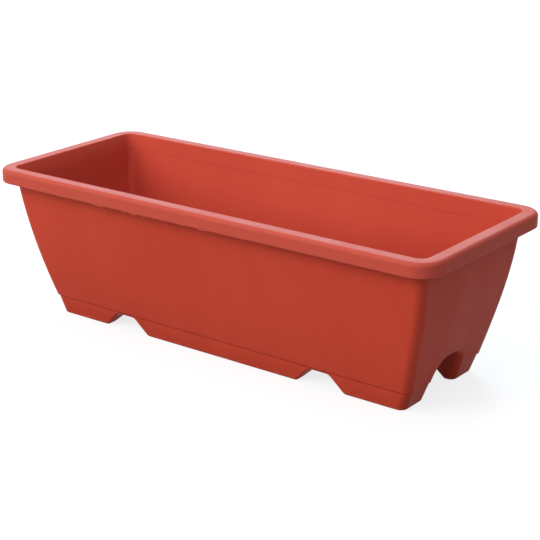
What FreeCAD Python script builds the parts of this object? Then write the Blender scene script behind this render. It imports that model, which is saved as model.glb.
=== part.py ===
import FreeCAD, Part
import math
import os

from FreeCAD import Vector

# Window box planter: a moulded trough with a rolled rim, a lift-out drainage
# grid above its floor and a push-in drain plug in the recess at each end.
# Millimetres. X runs along the box, Y across it, Z up. The origin lies in the
# middle of the footprint, on the surface that the feet stand on.

# ---- driving dimensions ------------------------------------------------------

# overall size, measured over the rim
length = 500.0
width = 194.0
height = 151.5

# rim: flat top, soft outer edge and a skirt that turns down
rim_top_width = 13.5
rim_drop = 13.3
rim_wall = 2.2
rim_corner_radius = 22.7
rim_edge_radius = 3.9
rim_lower_edge_radius = 0.8
rim_inner_edge_radius = 1.6
rim_rib_thickness = 1.6
rim_rib_drop = 8.0
rim_rib_pitch = 78.0

# body wall: leans in towards the foot and bulges on the way
wall = 2.3
body_inset_end = 15.3
body_inset_side = 13.1
body_taper_end = 23.9
body_taper_side = 22.3
body_bulge_end = 0.54
body_bulge_side = 0.319
body_skew_end = -0.285
body_skew_side = 0.237
body_corner_top = 9.0
body_corner_base = 8.0
wall_sections = 6

# foot: a hollow ridge below a shadow groove, with sloping inner faces
groove_height = 19.0
groove_step = 1.0
foot_taper_end = 6.8
foot_taper_side = 2.6
foot_corner_radius = 7.9
foot_edge_radius = 2.4
foot_land = 8.0
floor_underside = 15.6
floor_thickness = 2.4

# notches that part the feet along both long sides
notch_position = 115.5
notch_top_width = 21.0
notch_slope = 45.0
notch_top_radius = 7.0
notch_foot_radius = 6.0

# arched recess in the middle of each end
arch_crown_width = 36.0
arch_foot_width = 48.0
arch_height = 37.6
arch_corner_radius = 16.0
arch_depth = 32.0
arch_pad_radius = 7.5
arch_edge_radius = 2.8

# drain plug in the back wall of each recess
drain_height = 26.5
drain_bore = 14.0
plug_clearance = 0.1
plug_head_diameter = 20.0
plug_head_thickness = 2.2
plug_shank_length = 8.0
plug_shank_wall = 1.6
plug_tip_taper = 0.6
plug_tab_length = 13.0
plug_tab_thickness = 3.0
plug_tab_reach = 7.0
plug_edge_radius = 0.6

# drainage grid that stands on the floor
grid_clearance = 1.5
grid_thickness = 2.4
grid_above_recess = 1.8
grid_lip_height = 4.0
grid_lip_wall = 2.0
grid_slot_length = 22.0
grid_slot_width = 3.6
grid_slot_edge_radius = 1.6
grid_slot_pitch = 12.0
grid_slot_gap = 7.0
grid_border = 8.0
grid_leg_diameter = 12.0
grid_leg_wall = 1.8
grid_leg_spacing = 95.0
grid_leg_offset = 24.0

# ---- sizes that follow -------------------------------------------------------

reach = 1.0                                   # how far a cutter runs past a face
rim_half_x = length / 2
rim_half_y = width / 2
mouth_half_x = rim_half_x - rim_top_width
mouth_half_y = rim_half_y - rim_top_width
mouth_radius = rim_corner_radius - rim_top_width
rim_bottom = height - rim_drop
body_half_x = rim_half_x - body_inset_end
body_half_y = rim_half_y - body_inset_side
base_half_x = body_half_x - body_taper_end
base_half_y = body_half_y - body_taper_side
foot_top_half_x = base_half_x - groove_step
foot_top_half_y = base_half_y - groove_step
foot_half_x = foot_top_half_x - foot_taper_end
foot_half_y = foot_top_half_y - foot_taper_side
floor_top = floor_underside + floor_thickness
slope_wall = wall * math.sqrt(2)              # a wall on a 45 degree face, measured level
recess_back = base_half_x - arch_depth


# ---- shapes ------------------------------------------------------------------

def rounded_rectangle(half_x, half_y, radius, z):
    """Closed outline with rounded corners, level at height z."""
    x, y = half_x - radius, half_y - radius
    bend = radius * math.sqrt(0.5)
    corners = [(x, y, 1, 1), (-x, y, -1, 1), (-x, -y, -1, -1), (x, -y, 1, -1)]
    edges = []
    last = None
    for cx, cy, sx, sy in corners:
        on_x = Vector(cx + sx * radius, cy, z)
        middle = Vector(cx + sx * bend, cy + sy * bend, z)
        on_y = Vector(cx, cy + sy * radius, z)
        start, end = (on_x, on_y) if sx * sy > 0 else (on_y, on_x)
        if last is not None:
            edges.append(Part.makeLine(last, start))
        edges.append(Part.Arc(start, middle, end).toShape())
        last = end
    edges.append(Part.makeLine(last, edges[0].Vertexes[0].Point))
    return Part.Wire(edges)


def prism(half_x, half_y, radius, bottom, top):
    """Upright block with rounded corners."""
    face = Part.Face(rounded_rectangle(half_x, half_y, radius, bottom))
    return face.extrude(Vector(0, 0, top - bottom))


def tapered(lower, upper):
    """Straight-sided block between two (half_x, half_y, radius, z) outlines."""
    wires = [rounded_rectangle(*lower), rounded_rectangle(*upper)]
    return Part.makeLoft(wires, True, True)


def wall_fraction(t, bulge, skew):
    """How far out the wall stands at t of its height, from 0 at the groove to 1."""
    return t + bulge * t * (1 - t) + skew * t * (1 - t) * (1 - 2 * t)


def body_outline(t, inset):
    """Level outline of the curved wall at t of its height, moved in by inset."""
    half_x = base_half_x + body_taper_end * wall_fraction(t, body_bulge_end, body_skew_end)
    half_y = base_half_y + body_taper_side * wall_fraction(t, body_bulge_side, body_skew_side)
    radius = body_corner_base + (body_corner_top - body_corner_base) * t
    z = groove_height + (rim_bottom - groove_height) * t
    return half_x - inset, half_y - inset, radius - inset, z


def curved_block(inset, above=()):
    """The block inside the curved wall, moved in by inset, and on up through the outlines above."""
    steps = [i / (wall_sections - 1) for i in range(wall_sections)]
    outlines = [body_outline(t, inset) for t in steps] + list(above)
    return Part.makeLoft([rounded_rectangle(*outline) for outline in outlines], True, False)


def rounded_polygon(points, radii):
    """Closed outline in one plane through the points, each corner rounded."""
    count = len(points)
    trimmed = []
    for i, (corner, radius) in enumerate(zip(points, radii)):
        before = (points[i - 1] - corner).normalize()
        after = (points[(i + 1) % count] - corner).normalize()
        if radius == 0:
            trimmed.append((corner, None, corner))
            continue
        half_angle = before.getAngle(after) / 2
        back = radius / math.tan(half_angle)
        centre = corner + (before + after).normalize() * (radius / math.sin(half_angle))
        middle = centre + (corner - centre).normalize() * radius
        trimmed.append((corner + before * back, middle, corner + after * back))
    edges = []
    for i, (start, middle, end) in enumerate(trimmed):
        if middle is not None:
            edges.append(Part.Arc(start, middle, end).toShape())
        following = trimmed[(i + 1) % count][0]
        if end.distanceToPoint(following) > 1e-6:
            edges.append(Part.makeLine(end, following))
    return Part.Wire(edges)


def edges_where(shape, test):
    """The edges whose every sampled point passes the test."""
    return [e for e in shape.Edges if all(test(p) for p in e.discretize(5))]


def fuse(shapes):
    return shapes[0].multiFuse(shapes[1:]).removeSplitter()


def tube(outer, inner, bottom, top, x, y):
    """Upright tube round the axis at x, y."""
    rod = Part.makeCylinder(outer / 2, top - bottom, Vector(x, y, bottom))
    hole = Part.makeCylinder(inner / 2, top - bottom, Vector(x, y, bottom))
    return rod.cut(hole)


# ---- cutters for the foot ----------------------------------------------------

def notch_cutter(side, offset):
    """Trapezium that runs across the box; offset leaves a wall round it."""
    level = offset * math.tan(math.radians(notch_slope) / 2)
    half_top = notch_top_width / 2 + level
    top = floor_underside + offset
    half_foot = half_top + top / math.tan(math.radians(notch_slope))
    skirt = half_foot + notch_foot_radius
    y = -rim_half_y
    left = [(-skirt, -reach, 0), (-skirt, 0, 0), (-half_foot, 0, notch_foot_radius),
            (-half_top, top, notch_top_radius + offset)]
    right = [(-x, z, radius) for x, z, radius in reversed(left)]
    points = [Vector(side * notch_position + x, y, z) for x, z, radius in left + right]
    outline = rounded_polygon(points, [radius for x, z, radius in left + right])
    return Part.Face(outline).extrude(Vector(0, width, 0))


def end_cutter(side, offset, back):
    """Arched bar from back out through one end; offset leaves a wall round it."""
    lean = (arch_foot_width - arch_crown_width) / 2 / arch_height
    half_foot = arch_foot_width / 2 + offset
    top = arch_height + offset
    right = [(half_foot + lean * reach, -reach, 0),
             (half_foot - lean * top, top, arch_corner_radius + offset)]
    left = [(-y, z, radius) for y, z, radius in reversed(right)]
    points = [Vector(side * back, y, z) for y, z, radius in right + left]
    outline = rounded_polygon(points, [radius for y, z, radius in right + left])
    return Part.Face(outline).extrude(Vector(side * (rim_half_x - back), 0, 0))


def round_arches(shape, half_x, bottom, inset):
    """Rounds the rim of both arches: widely beside the feet, less and less up to the crown."""
    crown = arch_height + inset
    low_radius = arch_pad_radius - inset
    high_radius = arch_edge_radius - inset

    def on_arch(p):
        return abs(p.x) > half_x - reach and abs(p.y) < arch_foot_width / 2 + inset and p.z < crown + reach

    def radius_at(z):
        return high_radius + (low_radius - high_radius) * (crown - z) / (crown - bottom)

    rows = []
    for number, edge in enumerate(shape.Edges, 1):
        level = edge.BoundBox.ZMax - bottom < 1e-3
        if level or not all(on_arch(p) for p in edge.discretize(5)):
            continue
        start, end = edge.Vertexes[0].Point.z, edge.Vertexes[-1].Point.z
        rows.append((number, radius_at(end), radius_at(start)))
    document = FreeCAD.newDocument()
    sharp = document.addObject("Part::Feature", "sharp")
    sharp.Shape = shape
    soft = document.addObject("Part::Fillet", "soft")
    soft.Base = sharp
    soft.Edges = rows
    document.recompute()
    rounded = soft.Shape.copy()
    FreeCAD.closeDocument(document.Name)
    return rounded


# ---- trough ------------------------------------------------------------------

def make_rim():
    """Flat-topped lip with its skirt, open underneath."""
    block = prism(rim_half_x, rim_half_y, rim_corner_radius, rim_bottom, height)
    top_edges = edges_where(block, lambda p: abs(p.z - height) < 1e-6)
    block = block.makeFillet(rim_edge_radius, top_edges)
    low_edges = edges_where(block, lambda p: abs(p.z - rim_bottom) < 1e-6)
    block = block.makeFillet(rim_lower_edge_radius, low_edges)
    hollow = prism(rim_half_x - rim_wall, rim_half_y - rim_wall, rim_corner_radius - rim_wall,
                   rim_bottom - reach, height - rim_wall)
    inner_top = edges_where(hollow, lambda p: abs(p.z - (height - rim_wall)) < 1e-6)
    hollow = hollow.makeFillet(rim_edge_radius - rim_wall, inner_top)
    return block.cut(hollow)


def make_rim_ribs():
    """Thin gussets between the rim's skirt and the wall, evenly spaced."""
    bottom = height - rim_rib_drop
    tall = rim_rib_drop - rim_wall / 2
    ribs = []
    along = int((body_half_x - rim_corner_radius) // rim_rib_pitch)
    for i in range(-along, along + 1):
        corner = Vector(i * rim_rib_pitch - rim_rib_thickness / 2, -rim_half_y + rim_wall / 2, bottom)
        ribs.append(Part.makeBox(rim_rib_thickness, width - rim_wall, tall, corner))
    across = int((body_half_y - rim_corner_radius) // rim_rib_pitch)
    for i in range(-across, across + 1):
        corner = Vector(-rim_half_x + rim_wall / 2, i * rim_rib_pitch - rim_rib_thickness / 2, bottom)
        ribs.append(Part.makeBox(length - rim_wall, rim_rib_thickness, tall, corner))
    return ribs


def make_foot_hollow():
    """Space between the feet, under the floor, with 45 degree sides."""
    low_x = foot_half_x - foot_land + reach
    low_y = foot_half_y - foot_land + reach
    rise = floor_underside + reach
    return tapered((low_x, low_y, foot_corner_radius, -reach),
                   (low_x - rise, low_y - rise, foot_corner_radius, floor_underside))


def edges_beside_arch(shape, half_x, tall):
    """Upright edges where the arches part the feet, half_x out from the middle."""
    near = edges_where(shape, lambda p: abs(p.x) > half_x - reach
                       and abs(p.y) < arch_foot_width / 2 + wall + reach)
    return [edge for edge in near if edge.BoundBox.ZLength > tall]


def make_foot():
    """Ridge round the base, parted by the notches and the two end arches."""
    foot = tapered((foot_half_x, foot_half_y, foot_corner_radius, 0),
                   (foot_top_half_x, foot_top_half_y, foot_corner_radius, groove_height))
    for side in (-1, 1):
        foot = foot.cut(notch_cutter(side, 0))
        foot = foot.cut(end_cutter(side, 0, recess_back))
    foot = foot.removeSplitter()
    foot = foot.makeFillet(arch_pad_radius, edges_beside_arch(foot, foot_half_x, groove_height / 2))
    underneath = edges_where(foot, lambda p: abs(p.z) < 1e-6)
    outline = [edge for edge in underneath if abs(edge.BoundBox.Center.y) > reach]
    foot = foot.makeFillet(foot_edge_radius, outline)
    return foot.cut(make_foot_hollow())


def make_channel():
    """Gutter inside the hollow feet, open to the box above."""
    lean_x = foot_taper_end * wall / groove_height
    lean_y = foot_taper_side * wall / groove_height
    radius = foot_corner_radius - wall
    outer = tapered((foot_half_x + lean_x - wall, foot_half_y + lean_y - wall, radius, wall),
                    (foot_top_half_x - wall, foot_top_half_y - wall, radius, groove_height))
    land_x = foot_half_x - foot_land + slope_wall
    land_y = foot_half_y - foot_land + slope_wall
    island = tapered((land_x, land_y, foot_corner_radius + wall, 0),
                     (land_x - floor_top, land_y - floor_top, foot_corner_radius + wall, floor_top))
    channel = outer.cut(island)
    for side in (-1, 1):
        channel = channel.cut(notch_cutter(side, floor_thickness))
        channel = channel.cut(end_cutter(side, wall, recess_back - wall))
    corners = edges_beside_arch(channel, foot_half_x - wall, groove_height / 2)
    return channel.makeFillet(arch_pad_radius - wall, corners)


def make_inside():
    """Everything inside the walls: the box, its mouth and the gutters in the feet."""
    ledge_top = groove_height + wall
    below = Part.makeBox(length, width, ledge_top, Vector(-rim_half_x, -rim_half_y, 0))
    mouth = (mouth_half_x, mouth_half_y, mouth_radius, height)
    cavity = curved_block(wall, [mouth]).cut(below)
    sump = prism(foot_top_half_x - wall, foot_top_half_y - wall, foot_corner_radius - wall,
                 floor_top, ledge_top)
    for side in (-1, 1):
        cavity = cavity.cut(end_cutter(side, wall, recess_back - wall))
        sump = sump.cut(end_cutter(side, wall, recess_back - wall))
    cavity = round_arches(cavity, base_half_x - wall, ledge_top, wall)
    corners = edges_beside_arch(sump, foot_top_half_x - wall, wall)
    sump = sump.makeFillet(arch_pad_radius - wall, corners)
    return fuse([cavity, sump, make_channel()])


def make_trough():
    core = curved_block(0)
    for side in (-1, 1):
        core = core.cut(end_cutter(side, 0, recess_back))
    core = round_arches(core, base_half_x, groove_height, 0)
    crown = tapered(body_outline(1, 0), (mouth_half_x + wall, mouth_half_y + wall, body_corner_top, height))
    trough = fuse([core, crown, make_rim(), make_foot()] + make_rim_ribs())
    trough = trough.cut(make_inside())
    for side in (-1, 1):
        start = Vector(side * (recess_back - 2 * wall), 0, drain_height)
        trough = trough.cut(Part.makeCylinder(drain_bore / 2, 4 * wall, start, Vector(side, 0, 0)))
    mouth_edge = edges_where(trough, lambda p: abs(p.z - height) < 1e-6
                             and abs(p.x) < mouth_half_x + reach and abs(p.y) < mouth_half_y + reach)
    return trough.makeFillet(rim_inner_edge_radius, mouth_edge)


# ---- drain plugs -------------------------------------------------------------

def make_plug(side):
    """Flanged stopper with a hollow shank and a finger tab, pushed in from outside."""
    outward = Vector(side, 0, 0)
    seat = Vector(side * recess_back, 0, drain_height)
    shank_radius = drain_bore / 2 - plug_clearance
    head = Part.makeCylinder(plug_head_diameter / 2, plug_head_thickness, seat, outward)
    rim = edges_where(head, lambda p: abs(abs(p.x) - recess_back - plug_head_thickness) < 1e-6)
    head = head.makeFillet(plug_edge_radius, [edge for edge in rim if edge.Closed])
    shank = Part.makeCone(shank_radius, shank_radius - plug_tip_taper, plug_shank_length, seat, -outward)
    bore_radius = shank_radius - plug_tip_taper - plug_shank_wall
    bore = Part.makeCylinder(bore_radius, plug_shank_length, seat, -outward)
    root = plug_head_thickness / 2
    tab = Part.makeBox(root + plug_tab_reach, plug_tab_length, plug_tab_thickness,
                       Vector(-root, -plug_tab_length / 2, -plug_tab_thickness / 2))
    outer = edges_where(tab, lambda p: p.x > plug_tab_reach - 1e-6)
    tab = tab.makeFillet(plug_edge_radius, outer)
    if side < 0:
        tab.rotate(Vector(0, 0, 0), Vector(0, 0, 1), 180)
    tab.translate(seat + outward * plug_head_thickness)
    return fuse([head, shank.cut(bore), tab])


# ---- drainage grid -----------------------------------------------------------

def leg_places():
    """Two rows of four legs."""
    columns = [i * grid_leg_spacing for i in (-1.5, -0.5, 0.5, 1.5)]
    return [(x, side * grid_leg_offset) for x in columns for side in (-1, 1)]


def make_slots(half_x, half_y, bottom):
    """Rows of slots over the grid, left out above the legs."""
    keep_out = grid_leg_diameter / 2 + grid_slot_width
    columns = int((half_x - grid_border - grid_slot_width) // grid_slot_pitch)
    row_pitch = grid_slot_length + grid_slot_gap
    rows = int((2 * (half_y - grid_border) + grid_slot_gap) // row_pitch)
    slots = []
    for column in range(-columns, columns + 1):
        x = column * grid_slot_pitch
        for row in range(rows):
            y = (row - (rows - 1) / 2) * row_pitch
            if any(abs(x - leg_x) < keep_out and abs(y - leg_y) < keep_out + grid_slot_length / 2
                   for leg_x, leg_y in leg_places()):
                continue
            slot = prism(grid_slot_width / 2, grid_slot_length / 2, grid_slot_edge_radius,
                         bottom - reach, bottom + grid_thickness + reach)
            slot.translate(Vector(x, y, 0))
            slots.append(slot)
    return slots


def make_grid():
    """Slotted plate with a raised lip and hollow legs, held up above the recesses."""
    bottom = arch_height + wall + grid_above_recess
    top = bottom + grid_thickness
    t = (bottom - groove_height) / (rim_bottom - groove_height)
    half_x, half_y, radius, z = body_outline(t, wall + grid_clearance)
    plate = prism(half_x, half_y, radius, bottom, top + grid_lip_height)
    pan = prism(half_x - grid_lip_wall, half_y - grid_lip_wall, radius - grid_lip_wall, top,
                top + grid_lip_height + reach)
    plate = plate.cut(pan).cut(Part.makeCompound(make_slots(half_x, half_y, bottom)))
    bore = grid_leg_diameter - 2 * grid_leg_wall
    legs = [tube(grid_leg_diameter, bore, floor_top, bottom, x, y) for x, y in leg_places()]
    return fuse([plate] + legs)


# ---- output ------------------------------------------------------------------

def main():
    os.makedirs("parts", exist_ok=True)
    pieces = {
        "trough": make_trough(),
        "drainage_grid": make_grid(),
        "drain_plug_left": make_plug(-1),
        "drain_plug_right": make_plug(1),
    }
    for name, shape in pieces.items():
        shape.exportStep("parts/" + name + ".step")
        print(name, "solids", len(shape.Solids), "valid", shape.isValid(), "volume", round(shape.Volume))


main()
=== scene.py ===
# Looks, light and camera for the window box planter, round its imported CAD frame. In metres.
import math

import bmesh
import bpy
from mathutils import Matrix, Vector


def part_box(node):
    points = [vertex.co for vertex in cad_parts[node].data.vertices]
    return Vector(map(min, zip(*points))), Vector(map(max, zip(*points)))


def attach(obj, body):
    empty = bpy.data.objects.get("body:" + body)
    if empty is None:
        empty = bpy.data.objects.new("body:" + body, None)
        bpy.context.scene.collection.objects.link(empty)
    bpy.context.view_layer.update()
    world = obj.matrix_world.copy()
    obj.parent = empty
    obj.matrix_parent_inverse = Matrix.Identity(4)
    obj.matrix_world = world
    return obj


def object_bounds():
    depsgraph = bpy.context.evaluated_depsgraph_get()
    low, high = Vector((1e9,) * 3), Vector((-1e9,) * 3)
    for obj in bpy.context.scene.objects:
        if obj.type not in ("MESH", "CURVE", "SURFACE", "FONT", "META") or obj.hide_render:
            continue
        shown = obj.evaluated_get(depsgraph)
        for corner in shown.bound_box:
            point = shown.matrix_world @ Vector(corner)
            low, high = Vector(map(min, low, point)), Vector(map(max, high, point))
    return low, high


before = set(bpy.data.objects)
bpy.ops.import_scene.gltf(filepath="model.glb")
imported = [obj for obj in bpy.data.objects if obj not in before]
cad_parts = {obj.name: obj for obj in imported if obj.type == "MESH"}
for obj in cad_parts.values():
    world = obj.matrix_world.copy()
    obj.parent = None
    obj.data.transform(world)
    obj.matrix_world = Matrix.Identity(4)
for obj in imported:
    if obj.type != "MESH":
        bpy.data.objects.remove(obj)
cad_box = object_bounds()
LENGTH_TO_WIDTH = (cad_box[1].x - cad_box[0].x) / (cad_box[1].y - cad_box[0].y)

# the photograph's camera: turn, height and tilt in degrees, lens and sensor in millimetres
CAMERA_PLACE = (0.82115, -1.03513, 0.53430)
CAMERA_TURN = 37.8665
CAMERA_HEIGHT = 19.3669
CAMERA_TILT = -0.5491
CAMERA_LENS = 98.887
CAMERA_SENSOR = 36.0
NEAREST_SEEN = 0.05
FARTHEST_SEEN = 60.0

# soft lamps: name, turn to the right from the front and height in degrees, watts, tint
LAMPS = (
    ("front_box", 0, 30, 21.0, (1.0, 1.0, 1.0)),
    ("left_box", -35, 30, 47.0, (1.0, 1.0, 1.0)),
    ("overhead_box", 0, 88, 22.0, (0.84, 1.0, 1.25)),
    ("back_box", 218, 38, 60.0, (0.62, 1.0, 1.14)),
    ("right_box", 60, 25, 9.0, (0.92, 1.0, 1.15)),
)
LAMP_DISTANCE = 2.8
LAMP_SIZE = 1.6
LAMP_AIM = Vector((0.0, 0.0, 0.08))

WHITE = (1.0, 1.0, 1.0, 1.0)
ROOM_AS_LAMP = 0.28
ROOM_AS_SEEN = 1.0
FLOOR_SIZE = 12.0
FLOOR_LEVEL = -0.0002
FLOOR_GREY = (0.25, 0.25, 0.25, 1.0)
# the floor's white glow grows with the distance from the planter
GLOW_DISTANCES = (0.5, 3.0)
GLOW_LEVELS = (0.80, 0.98)

# nearly every value of soft noise lies within this span
NOISE_SPAN = (0.3, 0.7)
PLASTIC_IOR = 1.49
PLASTIC_SHINE = 0.08

# trough tones; the pairs go from the darker to the paler batch marks, and the paler inside pair
# and the pinker rim tone are painted sheen
OUTSIDE_TONES = ((0.500, 0.0490, 0.0240, 1.0), (0.540, 0.0560, 0.0285, 1.0))
INSIDE_SHEEN_TONES = ((0.515, 0.0610, 0.0350, 1.0), (0.555, 0.0690, 0.0400, 1.0))
RIM_SHEEN_TONE = (0.485, 0.0740, 0.0480, 1.0)
FLOW_TONE = (0.560, 0.0720, 0.0400, 1.0)
# painted shade in the inner crease
CREASE_SHADE_TONE = (0.300, 0.0280, 0.0130, 1.0)
# painted shade towards the bottom of the trough
LOW_SHADE_TONE = (0.330, 0.0330, 0.0150, 1.0)
# painted shadow under the step over the feet
GROOVE_SHADOW_TONE = (0.160, 0.0150, 0.0080, 1.0)
SCUFF_TONE = (0.640, 0.1700, 0.1150, 1.0)
DARK_GRAIN_TONE = (0.210, 0.0220, 0.0120, 1.0)
PALE_GRAIN_TONE = (0.700, 0.2100, 0.1400, 1.0)

# grid and plug tones
GRID_TONES = ((0.300, 0.0400, 0.0210, 1.0), (0.385, 0.0600, 0.0330, 1.0))
GRID_STREAK_TONE = (0.230, 0.0300, 0.0170, 1.0)
GRID_GRAIN_TONE = (0.110, 0.0180, 0.0110, 1.0)
PLUG_TONES = ((0.150, 0.0200, 0.0110, 1.0), (0.190, 0.0280, 0.0160, 1.0))
PLUG_RING_TONE = (0.240, 0.0400, 0.0240, 1.0)

# which way a wall faces: 1 straight out, -1 towards the soil
INSIDE_FACING = (-0.25, 0.05)
OUTSIDE_FACING = (0.35, 0.55)

# marks on the trough: their heights, how far they waver and how far they spread; the crease, the
# groove and the low heights place painted shade, the scuffs are wear
CREASE_HEIGHT = 0.1360
CREASE_WAVER = 0.0008
CREASE_BLUR = 0.0008
CREASE_SPREAD = (0.0002, 0.0024)
GROOVE_HEIGHT = 0.0184
GROOVE_SPREAD = (0.0003, 0.0009)
LOW_SHADE_HEIGHTS = (0.004, 0.024)
LOW_SHADE_WAVER = 0.005
SCUFF_HEIGHTS = (0.0008, 0.0045)

# the part of a pigment grain's radius that has its full colour
GRAIN_CORE = 0.6

# flash under the rim: its two ends, upper edge, depth, plane and thickness
FLASH_START = -0.205
FLASH_END = 0.065
FLASH_TOP = 0.1389
FLASH_DEPTH = 0.00085
FLASH_FACE = -0.09650
FLASH_THICKNESS = 0.0003
FLASH_CUTS = 99
FLASH_RAGGEDNESS = 0.00012
FLASH_SEED = 5
SMOOTHED_UP_TO = 40
# along the rim: from, to and how far the flash hangs further down
FLASH_TAGS = (
    (-0.1600, -0.1540, 0.00056), (-0.1410, -0.1385, 0.00040), (-0.1137, -0.1027, 0.00088),
    (-0.0787, -0.0751, 0.00072), (-0.0697, -0.0611, 0.00112), (-0.0538, -0.0502, 0.00088),
    (-0.0429, -0.0393, 0.00072), (-0.0345, -0.0286, 0.00056), (-0.0085, -0.0039, 0.00072),
    (0.0123, 0.0192, 0.00080), (0.0316, 0.0352, 0.00048),
)


# ---------------------------------------------------------------- steps of a node recipe

class Recipe:
    """The nodes of one material or world. A step returns the socket that holds its result."""

    def __init__(self, owner):
        owner.use_nodes = True
        self.nodes = owner.node_tree.nodes
        self.links = owner.node_tree.links
        self.nodes.clear()

    def give(self, socket, value):
        """Feeds a socket from another one, or sets it to a number or a colour."""
        if isinstance(value, bpy.types.NodeSocket):
            self.links.new(value, socket)
        else:
            socket.default_value = value

    def worked(self, operation, first, second=None):
        """One sum on one or two values; each is a socket or a number."""
        sum_node = self.nodes.new("ShaderNodeMath")
        sum_node.operation = operation
        self.give(sum_node.inputs[0], first)
        if second is not None:
            self.give(sum_node.inputs[1], second)
        return sum_node.outputs[0]

    def ranged(self, value, span, result=(0.0, 1.0)):
        """Maps a value from one span to another, held at its ends."""
        mapped = self.nodes.new("ShaderNodeMapRange")
        mapped.clamp = True
        self.links.new(value, mapped.inputs["Value"])
        mapped.inputs["From Min"].default_value, mapped.inputs["From Max"].default_value = span
        mapped.inputs["To Min"].default_value, mapped.inputs["To Max"].default_value = result
        return mapped.outputs["Result"]

    def blended(self, share, below, above):
        """Two colours mixed by a share; each is a socket or four numbers."""
        mix = self.nodes.new("ShaderNodeMix")
        mix.data_type = "RGBA"
        self.links.new(share, mix.inputs["Factor"])
        self.give(mix.inputs["A"], below)
        self.give(mix.inputs["B"], above)
        return mix.outputs["Result"]

    def cloud(self, place, per_metre, detail, stretch=(1.0, 1.0, 1.0)):
        """Soft noise on the piece, drawn out along an axis whose stretch is under 1."""
        mapping = self.nodes.new("ShaderNodeMapping")
        mapping.inputs["Scale"].default_value = stretch
        self.links.new(place, mapping.inputs["Vector"])
        noise = self.nodes.new("ShaderNodeTexNoise")
        noise.inputs["Scale"].default_value = per_metre
        noise.inputs["Detail"].default_value = detail
        self.links.new(mapping.outputs[0], noise.inputs["Vector"])
        return noise.outputs["Fac"]

    def specks(self, place, spacing, size, kept, share):
        """Stray pigment grains: the share in a few small spots, in the kept part of the cells."""
        cells = self.nodes.new("ShaderNodeTexVoronoi")
        cells.inputs["Scale"].default_value = 1.0 / spacing
        self.links.new(place, cells.inputs["Vector"])
        spot = self.ranged(cells.outputs["Distance"], (size * GRAIN_CORE, size), (1.0, 0.0))
        apart = self.nodes.new("ShaderNodeSeparateColor")
        self.links.new(cells.outputs["Color"], apart.inputs[0])
        chosen = self.worked("GREATER_THAN", apart.outputs[0], 1.0 - kept)
        return self.worked("MULTIPLY", self.worked("MULTIPLY", spot, chosen), share)

    def near_level(self, height, level, span, share):
        """The share close to one height, fading to 0 over a span of distances from it."""
        away = self.worked("ABSOLUTE", self.worked("SUBTRACT", height, level))
        return self.ranged(away, span, (share, 0.0))

    def raised(self, height, metres, strength, under=None):
        """A bump of that many metres, laid over another one where asked."""
        bump = self.nodes.new("ShaderNodeBump")
        bump.inputs["Strength"].default_value = strength
        bump.inputs["Distance"].default_value = metres
        self.links.new(height, bump.inputs["Height"])
        if under is not None:
            self.links.new(under, bump.inputs["Normal"])
        return bump.outputs[0]

    def shown_rays(self):
        """1 for the rays that see the background: straight, mirrored or through glass."""
        path = self.nodes.new("ShaderNodeLightPath")
        mirrored = self.worked("MAXIMUM", path.outputs["Is Camera Ray"],
                               path.outputs["Is Glossy Ray"])
        return self.worked("MAXIMUM", mirrored, path.outputs["Is Transmission Ray"])

    def facing_out(self, texture):
        """1 on a wall that faces straight out, -1 on one that faces the soil, 0 across them."""
        level = self.nodes.new("ShaderNodeVectorMath")
        level.operation = "MULTIPLY"
        self.links.new(texture.outputs["Object"], level.inputs[0])
        level.inputs[1].default_value = (1.0, LENGTH_TO_WIDTH, 0.0)
        unit = self.nodes.new("ShaderNodeVectorMath")
        unit.operation = "NORMALIZE"
        self.links.new(level.outputs[0], unit.inputs[0])
        along = self.nodes.new("ShaderNodeVectorMath")
        along.operation = "DOT_PRODUCT"
        self.links.new(unit.outputs[0], along.inputs[0])
        self.links.new(texture.outputs["Normal"], along.inputs[1])
        return along.outputs["Value"]


# ---------------------------------------------------------------- camera, floor and light

def set_camera():
    """The camera stands at the photograph's place and looks down its line of sight."""
    bpy.ops.object.camera_add()
    camera = bpy.context.object
    camera.name = "photo_camera"
    looking = (Matrix.Rotation(math.radians(CAMERA_TURN), 4, "Z")
               @ Matrix.Rotation(math.pi / 2 - math.radians(CAMERA_HEIGHT), 4, "X")
               @ Matrix.Rotation(math.radians(CAMERA_TILT), 4, "Z"))
    camera.matrix_world = Matrix.Translation(CAMERA_PLACE) @ looking
    camera.data.sensor_width = CAMERA_SENSOR
    camera.data.lens = CAMERA_LENS
    camera.data.clip_start = NEAREST_SEEN
    camera.data.clip_end = FARTHEST_SEEN
    bpy.context.scene.camera = camera


def soft_box(name, turn, height, watts, tint):
    """A square soft lamp aimed at the planter, placed by its two angles."""
    turn = math.radians(turn)
    height = math.radians(height)
    place = Vector((math.sin(turn) * math.cos(height),
                    -math.cos(turn) * math.cos(height), math.sin(height))) * LAMP_DISTANCE
    bpy.ops.object.light_add(type="AREA", location=place)
    lamp = bpy.context.object
    lamp.name = name
    lamp.rotation_euler = (LAMP_AIM - place).to_track_quat("-Z", "Y").to_euler()
    lamp.data.shape = "SQUARE"
    lamp.data.size = LAMP_SIZE
    lamp.data.energy = watts
    lamp.data.color = tint


def light_room():
    """A white room: dim as a lamp, white where it is seen."""
    world = bpy.data.worlds.new("pale_room")
    bpy.context.scene.world = world
    recipe = Recipe(world)
    lit = recipe.nodes.new("ShaderNodeBackground")
    lit.inputs["Color"].default_value = WHITE
    lit.inputs["Strength"].default_value = ROOM_AS_LAMP
    white = recipe.nodes.new("ShaderNodeBackground")
    white.inputs["Color"].default_value = WHITE
    white.inputs["Strength"].default_value = ROOM_AS_SEEN
    either = recipe.nodes.new("ShaderNodeMixShader")
    recipe.links.new(recipe.shown_rays(), either.inputs["Fac"])
    recipe.links.new(lit.outputs[0], either.inputs[1])
    recipe.links.new(white.outputs[0], either.inputs[2])
    out = recipe.nodes.new("ShaderNodeOutputWorld")
    recipe.links.new(either.outputs[0], out.inputs["Surface"])


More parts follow.
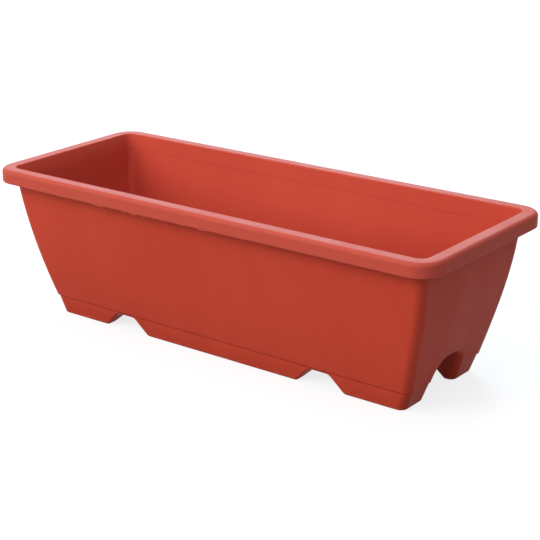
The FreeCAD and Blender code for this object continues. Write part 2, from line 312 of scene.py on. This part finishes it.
def lay_floor():
    """A pale matt floor under the feet, with a white glow where it is seen."""
    bpy.ops.mesh.primitive_plane_add(size=FLOOR_SIZE, location=(0, 0, FLOOR_LEVEL))
    floor = bpy.context.object
    floor.name = "pale_floor"
    paper = bpy.data.materials.new("pale_floor_paper")
    recipe = Recipe(paper)
    matt = recipe.nodes.new("ShaderNodeBsdfDiffuse")
    matt.inputs["Color"].default_value = FLOOR_GREY
    away = recipe.nodes.new("ShaderNodeVectorMath")
    away.operation = "LENGTH"
    texture = recipe.nodes.new("ShaderNodeTexCoord")
    recipe.links.new(texture.outputs["Object"], away.inputs[0])
    lift = recipe.ranged(away.outputs["Value"], GLOW_DISTANCES, GLOW_LEVELS)
    glow = recipe.nodes.new("ShaderNodeEmission")
    glow.inputs["Color"].default_value = WHITE
    recipe.links.new(recipe.worked("MULTIPLY", lift, recipe.shown_rays()),
                     glow.inputs["Strength"])
    both = recipe.nodes.new("ShaderNodeAddShader")
    recipe.links.new(matt.outputs[0], both.inputs[0])
    recipe.links.new(glow.outputs[0], both.inputs[1])
    out = recipe.nodes.new("ShaderNodeOutputMaterial")
    recipe.links.new(both.outputs[0], out.inputs["Surface"])
    floor.data.materials.append(paper)


# ---------------------------------------------------------------- moulded plastic

def new_plastic(name, roughness):
    """A plain plastic: returns the material, its recipe and its shader."""
    plastic = bpy.data.materials.new(name)
    recipe = Recipe(plastic)
    skin = recipe.nodes.new("ShaderNodeBsdfPrincipled")
    skin.inputs["Roughness"].default_value = roughness
    skin.inputs["IOR"].default_value = PLASTIC_IOR
    skin.inputs["Specular IOR Level"].default_value = PLASTIC_SHINE
    out = recipe.nodes.new("ShaderNodeOutputMaterial")
    recipe.links.new(skin.outputs[0], out.inputs["Surface"])
    return plastic, recipe, skin


def moulded_tone(recipe, place, flow, inside, above_crease):
    """The plastic's colour: batch marks and flow streaks, with painted sheen as a paler inside and
    a pinker, paler rim.
    """
    batch = recipe.ranged(recipe.cloud(place, per_metre=7.0, detail=3.0), NOISE_SPAN)
    # painted sheen: the inside and the band above the crease take the paler tones
    sheen_share = recipe.worked("MAXIMUM", inside, above_crease)
    tone = recipe.blended(sheen_share, recipe.blended(batch, *OUTSIDE_TONES),
                          recipe.blended(batch, *INSIDE_SHEEN_TONES))
    # painted sheen: a pinker, paler tone on the outer rim above the crease
    rim = recipe.worked("SUBTRACT", above_crease, inside)
    rim_sheen_share = recipe.ranged(rim, (0.0, 1.0), (0.0, 0.85))
    tone = recipe.blended(rim_sheen_share, tone, RIM_SHEEN_TONE)
    flow_share = recipe.ranged(flow, (0.4, 0.75), (0.0, 0.3))
    return recipe.blended(flow_share, tone, FLOW_TONE)


def shaded_low_tone(recipe, place, height, outside, tone):
    """Painted shade: a darker tone towards the bottom, and a painted shadow line in the groove
    over the feet.
    """
    shade_edge = recipe.ranged(recipe.cloud(place, per_metre=60.0, detail=4.0), NOISE_SPAN,
                           (-LOW_SHADE_WAVER, LOW_SHADE_WAVER))
    # painted shade: darker towards the bottom, its upper edge wavering
    low_shade = recipe.ranged(recipe.worked("ADD", height, shade_edge), LOW_SHADE_HEIGHTS, (0.42, 0.0))
    tone = recipe.blended(low_shade, tone, LOW_SHADE_TONE)
    # painted shadow: a dark line on the outside just under the step over the feet
    groove = recipe.near_level(height, GROOVE_HEIGHT, GROOVE_SPREAD, share=0.65)
    return recipe.blended(recipe.worked("MULTIPLY", outside, groove), tone, GROOVE_SHADOW_TONE)


def trough_plastic():
    """Terracotta coloured plastic as it leaves the mould, with painted sheen on the inside and
    round the rim, and painted shade in the inner crease, in the groove over the feet and towards
    the bottom.
    """
    plastic, recipe, skin = new_plastic("trough_terracotta_plastic", roughness=0.5)
    texture = recipe.nodes.new("ShaderNodeTexCoord")
    place = texture.outputs["Object"]
    apart = recipe.nodes.new("ShaderNodeSeparateXYZ")
    recipe.links.new(place, apart.inputs[0])
    height = apart.outputs[2]
    turned_out = recipe.facing_out(texture)
    inside = recipe.ranged(turned_out, INSIDE_FACING, (1.0, 0.0))
    outside = recipe.ranged(turned_out, OUTSIDE_FACING)
    flow = recipe.cloud(place, per_metre=30.0, detail=2.0, stretch=(1.0, 1.0, 0.12))

    waver = recipe.ranged(recipe.cloud(place, per_metre=22.0, detail=2.0), NOISE_SPAN,
                          (-CREASE_WAVER, CREASE_WAVER))
    level = recipe.worked("ADD", height, waver)
    above_crease = recipe.ranged(level, (CREASE_HEIGHT - CREASE_BLUR, CREASE_HEIGHT + CREASE_BLUR))
    tone = moulded_tone(recipe, place, flow, inside, above_crease)
    # painted shade: a faint dark line along the inner crease
    crease = recipe.near_level(level, CREASE_HEIGHT, CREASE_SPREAD, share=0.05)
    tone = recipe.blended(recipe.worked("MULTIPLY", inside, crease), tone, CREASE_SHADE_TONE)
    tone = shaded_low_tone(recipe, place, height, outside, tone)

    scuff_lines = recipe.cloud(place, per_metre=420.0, detail=3.0, stretch=(0.16, 0.16, 1.0))
    scuffs = recipe.worked("MULTIPLY", recipe.ranged(height, SCUFF_HEIGHTS, (1.0, 0.0)),
                           recipe.ranged(scuff_lines, (0.52, 0.66), (0.0, 0.6)))
    tone = recipe.blended(scuffs, tone, SCUFF_TONE)
    dark = recipe.specks(place, spacing=0.011, size=0.055, kept=0.16, share=0.4)
    tone = recipe.blended(dark, tone, DARK_GRAIN_TONE)
    pale = recipe.specks(place, spacing=0.017, size=0.030, kept=0.14, share=0.35)
    tone = recipe.blended(pale, tone, PALE_GRAIN_TONE)
    recipe.links.new(tone, skin.inputs["Base Color"])

    patches = recipe.cloud(place, per_metre=45.0, detail=4.0)
    rough = recipe.worked("ADD", recipe.ranged(flow, NOISE_SPAN, (0.46, 0.54)),
                          recipe.ranged(patches, (0.55, 0.75), (0.0, 0.06)))
    rough = recipe.worked("ADD", rough, recipe.worked("MULTIPLY", scuffs, 0.25))
    recipe.links.new(rough, skin.inputs["Roughness"])

    swell = recipe.raised(recipe.cloud(place, per_metre=9.0, detail=1.0),
                          metres=0.0006, strength=1.0)
    step = recipe.raised(recipe.worked("MULTIPLY", above_crease, inside),
                         metres=0.0001, strength=0.8, under=swell)
    grain = recipe.raised(recipe.cloud(place, per_metre=1300.0, detail=2.0),
                          metres=0.00008, strength=0.25, under=step)
    recipe.links.new(grain, skin.inputs["Normal"])
    return plastic


def grid_plastic():
    """Duller reground plastic with darker swirls, for the drainage grid."""
    plastic, recipe, skin = new_plastic("grid_reground_plastic", roughness=0.58)
    place = recipe.nodes.new("ShaderNodeTexCoord").outputs["Object"]
    swirl = recipe.cloud(place, per_metre=38.0, detail=5.0, stretch=(0.5, 1.0, 1.0))
    tone = recipe.blended(recipe.ranged(swirl, (0.38, 0.62)), *GRID_TONES)
    streak = recipe.cloud(place, per_metre=120.0, detail=2.0, stretch=(0.1, 1.0, 1.0))
    streak_share = recipe.ranged(streak, (0.55, 0.75), (0.0, 0.35))
    tone = recipe.blended(streak_share, tone, GRID_STREAK_TONE)
    dark = recipe.specks(place, spacing=0.006, size=0.08, kept=0.3, share=0.5)
    tone = recipe.blended(dark, tone, GRID_GRAIN_TONE)
    recipe.links.new(tone, skin.inputs["Base Color"])
    recipe.links.new(recipe.ranged(swirl, NOISE_SPAN, (0.52, 0.64)), skin.inputs["Roughness"])
    grain = recipe.raised(recipe.cloud(place, per_metre=900.0, detail=3.0),
                          metres=0.0001, strength=0.35)
    recipe.links.new(grain, skin.inputs["Normal"])
    return plastic


def plug_plastic(name, node):
    """Dark soft plastic with the turned rings of its mould round the plug's axis."""
    plastic, recipe, skin = new_plastic(name, roughness=0.46)
    low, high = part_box(node)
    middle = (low + high) / 2
    place = recipe.nodes.new("ShaderNodeTexCoord").outputs["Object"]
    centred = recipe.nodes.new("ShaderNodeMapping")
    centred.inputs["Location"].default_value = (0.0, -middle.y, -middle.z)
    recipe.links.new(place, centred.inputs["Vector"])
    rings = recipe.nodes.new("ShaderNodeTexWave")
    rings.wave_type = "RINGS"
    rings.rings_direction = "X"
    rings.inputs["Scale"].default_value = 320.0
    rings.inputs["Distortion"].default_value = 0.4
    recipe.links.new(centred.outputs[0], rings.inputs["Vector"])
    ring = rings.outputs["Fac"]
    batch = recipe.cloud(place, per_metre=90.0, detail=3.0)
    tone = recipe.blended(recipe.ranged(batch, (0.35, 0.65)), *PLUG_TONES)
    tone = recipe.blended(recipe.ranged(ring, (0.6, 1.0), (0.0, 0.18)), tone, PLUG_RING_TONE)
    recipe.links.new(tone, skin.inputs["Base Color"])
    recipe.links.new(recipe.ranged(batch, NOISE_SPAN, (0.42, 0.52)), skin.inputs["Roughness"])
    turned = recipe.raised(ring, metres=0.00005, strength=0.4)
    grain = recipe.raised(recipe.cloud(place, per_metre=1500.0, detail=2.0),
                          metres=0.00006, strength=0.3, under=turned)
    recipe.links.new(grain, skin.inputs["Normal"])
    return plastic


def finish_node(name, plastic):
    """Gives a CAD piece its plastic."""
    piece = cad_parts[name]
    for slot in piece.material_slots:
        slot.material = plastic


# ---------------------------------------------------------------- flash under the rim

def pick_lower_edge(flash, first=-math.inf, last=math.inf):
    """Selects what lies under the strip's middle, between two places along the rim."""
    bpy.ops.mesh.select_all(action="DESELECT")
    strip = bmesh.from_edit_mesh(flash.data)
    for vertex in strip.verts:
        vertex.select_set(vertex.co.z < FLASH_TOP - FLASH_DEPTH / 2
                          and first < vertex.co.x < last)
    bmesh.update_edit_mesh(flash.data)


def rim_flash(plastic):
    """The ragged sliver that the mould's parting line leaves under the front of the rim."""
    bpy.ops.object.select_all(action="DESELECT")
    bpy.ops.mesh.primitive_plane_add(size=1.0, rotation=(math.pi / 2, 0, 0),
                                     location=((FLASH_START + FLASH_END) / 2, FLASH_FACE,
                                               FLASH_TOP - FLASH_DEPTH / 2))
    flash = bpy.context.object
    flash.name = "rim_flash"
    flash.scale = (FLASH_END - FLASH_START, FLASH_DEPTH, 1.0)
    bpy.ops.object.transform_apply(location=True, rotation=True, scale=True)

    # the two long edges are cut first, then every piece of the strip once more
    bpy.ops.object.mode_set(mode="EDIT")
    bpy.ops.mesh.select_mode(type="EDGE")
    bpy.ops.mesh.select_all(action="DESELECT")
    strip = bmesh.from_edit_mesh(flash.data)
    for edge in strip.edges:
        edge.select_set(abs(edge.verts[0].co.x - edge.verts[1].co.x) > FLASH_DEPTH)
    bmesh.update_edit_mesh(flash.data)
    bpy.ops.mesh.subdivide(number_cuts=FLASH_CUTS)
    bpy.ops.mesh.subdivide(number_cuts=1)

    bpy.ops.mesh.select_mode(type="VERT")
    for first, last, drop in FLASH_TAGS:
        pick_lower_edge(flash, first, last)
        bpy.ops.transform.translate(value=(0.0, 0.0, -drop))
    pick_lower_edge(flash)
    bpy.ops.transform.vertex_random(offset=FLASH_RAGGEDNESS, uniform=0.0, normal=0.0,
                                    seed=FLASH_SEED)
    bpy.ops.object.mode_set(mode="OBJECT")
    sheet = flash.modifiers.new("sliver", "SOLIDIFY")
    sheet.thickness = FLASH_THICKNESS
    sheet.offset = 0.0
    bpy.ops.object.modifier_apply(modifier="sliver")
    bpy.ops.object.shade_smooth_by_angle(angle=math.radians(SMOOTHED_UP_TO))
    flash.data.materials.append(plastic)
    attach(flash, "trough")


bpy.context.scene.view_settings.view_transform = "Standard"
set_camera()
for lamp in LAMPS:
    soft_box(*lamp)
light_room()
lay_floor()

body_plastic = trough_plastic()
finish_node("trough", body_plastic)
finish_node("drainage_grid", grid_plastic())
finish_node("drain_plug_left", plug_plastic("left_plug_soft_plastic", "drain_plug_left"))
finish_node("drain_plug_right", plug_plastic("right_plug_soft_plastic", "drain_plug_right"))
rim_flash(body_plastic)
